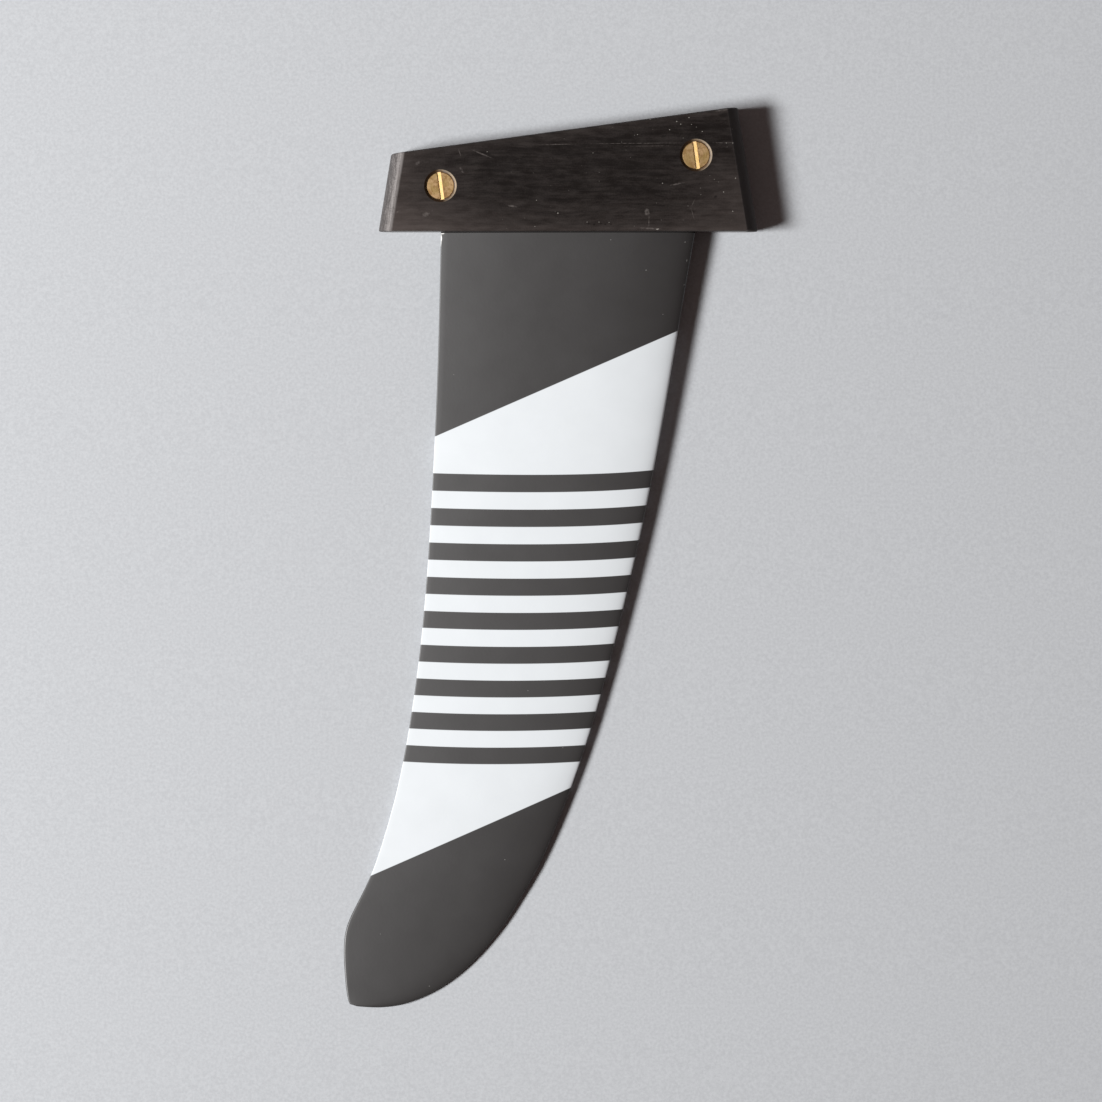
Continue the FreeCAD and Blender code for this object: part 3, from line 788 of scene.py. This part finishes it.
def end_colour(tree, beyond, front_half, round_corner, streak, blotch, fuzz):
    """Sanded laminate: at the rear a painted highlight, pale at the corner and fading
    outwards, streaked and blotched, and at the front plain behind a dark rim."""
    outwards = sum_of(
        tree, ramp(tree, beyond, *CORNER_HIGHLIGHT_REACH), ramp(tree, streak, *STREAKED),
        ramp(tree, fuzz, *FUZZED))
    # Painted highlight: pale along the rear corner, darker sanded laminate further out.
    rear_end = blend(tree, outwards, PAINTED_CORNER_HIGHLIGHT, SANDED_END)
    rear_end = blend(tree, ramp(tree, blotch, *BLOTCHED), rear_end, WORN_AND_LIT_BLACK)
    front_end = blend(tree, round_corner, FRONT_RIM, SANDED_END)
    return blend(tree, front_half, rear_end, front_end)


def mouth_colour(tree, place, ahead, above, from_axis, blotch):
    """The countersinks: painted shade on the side away from the lamp, and on the side facing
    it a brown layer and then a pale one out at the rim, with a ragged border between them.
    The pale layer is bare laminate with painted light, reaching furthest in where the cut
    faces the lamp most."""
    up_and_ahead = along(tree, ahead, above, LIT_SIDE)
    up_the_cut = sum_of(
        tree, from_axis, ramp(tree, noise(tree, place, LAYER_GRAIN), *LAYER_RAGGED),
        ramp(tree, up_and_ahead, *LAYER_BORDER))
    layers = blend(
        tree, ramp(tree, up_the_cut, *LAYER_CHANGE), BROWN_LAMINATE, PALE_LAMINATE)
    layers = blend(tree, ramp(tree, blotch, *MOUTH_BLOTCHED), layers, PALE_SCRATCH)
    # Painted shade on the side of the mouth away from the lamp.
    return blend(tree, ramp(tree, up_and_ahead, *SIDE_CHANGE), SHADED_MOUTH, layers)


def head_laminate():
    """Black sanded laminate: fibres along the flanks, streaks up the ends, wear and dust."""
    material, tree, shader, place = new_material("head_laminate")
    split = add_node(tree, "ShaderNodeSeparateXYZ", {0: place})
    x, y = split.outputs["X"], split.outputs["Y"]
    fuzz = noise(tree, place, FUZZ_GRAIN)
    fibre, patch = laminate_grain(tree, place, FLANK_FIBRES, FLANK_PATCHES, FLANK_WANDER)
    # The flank colour: wear in the grain and along the edges, and painted light towards the
    # rear, along the foot and at the front below the nut.
    worn_and_lit = flank_wear_and_light(tree, x, y, fibre, patch, fuzz)
    colour = flank_colour(tree, place, x, worn_and_lit)

    front_half = ramp(tree, x, *MIDDLE_STRIP)
    beyond = past_sanding_line(tree, x, y, front_half)
    past_flank = ramp(
        tree, beyond, rear_or_front(tree, front_half, *BORDER_START),
        rear_or_front(tree, front_half, *BORDER_END))
    round_corner = ramp(tree, beyond, *DARK_RIM_REACH)
    streak, blotch = laminate_grain(tree, place, END_STREAKS, END_BLOTCHES, END_WANDER)
    colour = blend(tree, past_flank, colour, end_colour(
        tree, beyond, front_half, round_corner, streak, blotch, fuzz))

    # Bore mouths: painted shade on the side away from the lamp, painted light on the side
    # facing it.
    ahead, above, from_axis = from_nearer_nut(tree, x, y)
    in_mouth = crisp(tree, maths(tree, "SUBTRACT", BORE_MOUTH, from_axis))
    colour = blend(tree, in_mouth, colour, mouth_colour(
        tree, place, ahead, above, from_axis, blotch))
    tree.links.new(colour, shader.inputs["Base Color"])

    cut = maths(tree, "MAXIMUM", past_flank, in_mouth)
    front_end = product_of(tree, round_corner, front_half)
    roughness = sum_of(
        tree, ramp(tree, patch, *POLISHED_ROUGHNESS), product_of(tree, cut, CUT_IS_DULLER),
        product_of(tree, front_end, FRONT_IS_DULLER))
    tree.links.new(roughness, shader.inputs["Roughness"])
    relief = add_node(tree, "ShaderNodeBump", {
        "Strength": RELIEF_STRENGTH, "Distance": LAMINATE_RELIEF,
        "Height": sum_of(tree, fibre, fuzz)})
    tree.links.new(relief.outputs["Normal"], shader.inputs["Normal"])
    return material


def dress(node, material):
    """Give a CAD node its finished material."""
    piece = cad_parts[node]
    piece.data.materials.clear()
    piece.data.materials.append(material)


dress("fin_head", head_laminate())


# Barrel nuts: turned brass bars that lie across the head in drilled bores, threaded
# through for the bolts from the deck. Each has a filed screwdriver slot, whose floor
# leans a little, and its face has gone dull and freckled in salt water.
SLOT_HALF = 0.0009
SLOT_TILT = np.tan(np.radians(8))
SLOT_SOFTNESS = 0.00006
RINGS_PER_METRE = 2600.0
RING_DEPTH = 0.00003
MOTTLE_GRAIN = 430.0
MOTTLE_DEPTH = 0.00003
MOTTLED = (0.42, 0.6)
OLIVE_GRAIN = 330.0
OLIVE_SHOW = (0.45, 0.65, 0.0, 0.5)
FRESHLY_FILED = (0.35, 0.55)
BRASS_ROUGHNESS = (0.3, 0.7, 0.55, 0.46)
DULL_BRASS = (0.88, 0.60, 0.32, 1)
DARK_BRASS = (0.45, 0.27, 0.115, 1)
OLIVE_BRASS = (0.60, 0.435, 0.165, 1)
FRESH_BRASS = (0.83, 0.585, 0.243, 1)
BURR_SHADOW = (0.36, 0.19, 0.10, 1)
# Painted shadows of burrs: dark red-brown spots along the right edge of each slot.
SLOT_BURR_SHADOWS = (
    (-54.6, 18.0, 1.1, 0.25, 95),
    (-54.4, 15.6, 0.7, 0.2, 95),
    (56.9, 36.0, 0.5, 0.25, 80),
    (57.0, 33.2, 0.8, 0.25, 95),
    (57.2, 30.6, 0.6, 0.2, 95),
)


def nut_brass():
    """Dull brass with faint turning rings round its middle, and a fresh slot with painted
    shadows of burrs along its right edge.
    """
    material, tree, shader, place = new_material("brass")
    split = add_node(tree, "ShaderNodeSeparateXYZ", {0: place})
    ahead, above, from_axis = from_nearer_nut(tree, split.outputs["X"], split.outputs["Y"])
    across = along(tree, ahead, above, TOP_SLOPE)
    in_slot = product_of(tree, on_right_side(tree, split.outputs["Z"]), crisp(tree, maths(
        tree, "SUBTRACT", SLOT_HALF, maths(tree, "ABSOLUTE", across)), SLOT_SOFTNESS))

    mottle = noise(tree, place, MOTTLE_GRAIN, detail=4.0, roughness=0.65)
    olive = ramp(tree, noise(tree, place, OLIVE_GRAIN), *OLIVE_SHOW)
    colour = blend(tree, ramp(tree, mottle, *MOTTLED), DARK_BRASS, DULL_BRASS)
    colour = blend(tree, olive, colour, OLIVE_BRASS)
    # Painted shadow: dark spots along the right edge of the slot.
    colour = blend(tree, small_marks(tree, place, SLOT_BURR_SHADOWS), colour, BURR_SHADOW)
    filed = blend(tree, ramp(tree, mottle, *FRESHLY_FILED), DULL_BRASS, FRESH_BRASS)
    colour = blend(tree, in_slot, colour, filed)
    tree.links.new(colour, shader.inputs["Base Color"])
    shader.inputs["Metallic"].default_value = 1.0
    tree.links.new(ramp(tree, mottle, *BRASS_ROUGHNESS), shader.inputs["Roughness"])

    slope = product_of(tree, SLOT_TILT, maths(tree, "MINIMUM", maths(
        tree, "MAXIMUM", across, -SLOT_HALF), SLOT_HALF))
    out_along_face = add_node(tree, "ShaderNodeCombineXYZ", {0: from_axis}).outputs[0]
    rings = noise(tree, out_along_face, RINGS_PER_METRE)
    relief = add_node(tree, "ShaderNodeBump", {
        "Strength": 1.0, "Distance": 1.0, "Height": sum_of(
            tree, slope, product_of(tree, mottle, MOTTLE_DEPTH),
            product_of(tree, rings, RING_DEPTH))})
    tree.links.new(relief.outputs["Normal"], shader.inputs["Normal"])
    return material


brass = nut_brass()
for name in NUTS:
    dress(name, brass)


# Floor: a pale painted board that the fin lies on, touched by the flat flank of the head
# and by the blade near its tip.
REST_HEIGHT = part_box("fin_head")[0][2]
FLOOR_REACH = 6.0
FLOOR_ROUGHNESS = 0.9
FLECK_GRAIN = 800.0
FLECK_SPREAD = (0.35, 0.65)
FLOOR_COLOUR = (0.565, 0.584, 0.606, 1)
FLOOR_FLECK = (0.496, 0.512, 0.533, 1)


def floor_board():
    """Pale matt paint with a faint fleck."""
    material, tree, shader, place = new_material("floor_board")
    fleck = ramp(
        tree, noise(tree, place, FLECK_GRAIN, detail=3.0, roughness=0.7), *FLECK_SPREAD)
    tree.links.new(
        blend(tree, fleck, FLOOR_FLECK, FLOOR_COLOUR), shader.inputs["Base Color"])
    shader.inputs["Roughness"].default_value = FLOOR_ROUGHNESS
    return material


def blade_lean():
    """How far the floor rises per metre towards the tip of the fin that lies on it: the
    least slope from under the root to a point of the outer three quarters of the blade."""
    skin = np.empty(len(blade.data.vertices) * 3)
    blade.data.vertices.foreach_get("co", skin)
    skin = skin.reshape(-1, 3)
    outer = skin[skin[:, 1] < -BLADE_DEPTH / 4]
    return np.min((outer[:, 2] - REST_HEIGHT) / -outer[:, 1])


lean = blade_lean()
floor_normal = Vector((0, lean, 1)).normalized()
corners = np.array([(-1, -1), (1, -1), (1, 1), (-1, 1)]) * FLOOR_REACH
floor_points = np.column_stack([corners, REST_HEIGHT - lean * corners[:, 1]])
floor = new_piece("floor", floor_points, np.array([(0, 1, 2, 3)]))
floor.data.materials.append(floor_board())


# Light: one oblong softbox, low on the left and turned a little away from the fin, so
# that the floor darkens to the right as in the photograph, and a dim warm room.
KEY_DISTANCE = 3.5
KEY_ELEVATION = np.radians(41.3)
KEY_TURN = np.radians(6.9)
KEY_ROLL = np.radians(10.2)
KEY_SIZE = (1.155, 0.728)
KEY_POWER = 214.0
KEY_AIM = Vector((1.25, 2.5, 0.0))
ROOM_LIGHT = (0.073, 0.054, 0.050, 1)

VIEW_CENTRE = Vector((-0.0075, -0.1397, 0.0))
from_centre = Vector((
    -np.cos(KEY_ELEVATION) * np.cos(KEY_TURN),
    -np.cos(KEY_ELEVATION) * np.sin(KEY_TURN),
    np.sin(KEY_ELEVATION)))
lamp = bpy.data.lights.new("softbox", "AREA")
lamp.shape = "RECTANGLE"
lamp.size, lamp.size_y = KEY_SIZE
lamp.energy = KEY_POWER
softbox = bpy.data.objects.new("softbox", lamp)
lamp_place = VIEW_CENTRE + from_centre * KEY_DISTANCE
lamp_back = (lamp_place - KEY_AIM).normalized()
level_side = Vector((0, 0, 1)).cross(lamp_back).normalized()
level_up = lamp_back.cross(level_side)
lamp_side = level_side * np.cos(KEY_ROLL) + level_up * np.sin(KEY_ROLL)
lamp_up = lamp_back.cross(lamp_side)
lamp_turn = Matrix((lamp_side, lamp_up, lamp_back)).transposed()
softbox.matrix_world = Matrix.Translation(lamp_place) @ lamp_turn.to_4x4()
bpy.context.scene.collection.objects.link(softbox)

room = bpy.data.worlds.new("room")
room.use_nodes = True
room.node_tree.nodes["Background"].inputs["Color"].default_value = ROOM_LIGHT
bpy.context.scene.world = room


# Camera: straight above the floor with a long lens.
CAMERA_DISTANCE = 2.5
VIEW_WIDTH = 0.4826
SENSOR_WIDTH = 36.0

camera_data = bpy.data.cameras.new("camera")
camera_data.sensor_width = SENSOR_WIDTH
camera_data.lens = SENSOR_WIDTH * CAMERA_DISTANCE / VIEW_WIDTH
camera = bpy.data.objects.new("camera", camera_data)
right = Vector((1, 0, 0))
up = floor_normal.cross(right)
camera_turn = Matrix((right, up, floor_normal)).transposed()
camera_place = VIEW_CENTRE + floor_normal * CAMERA_DISTANCE
camera.matrix_world = Matrix.Translation(camera_place) @ camera_turn.to_4x4()
bpy.context.scene.collection.objects.link(camera)
bpy.context.scene.camera = camera
bpy.context.scene.view_settings.view_transform = "Standard"
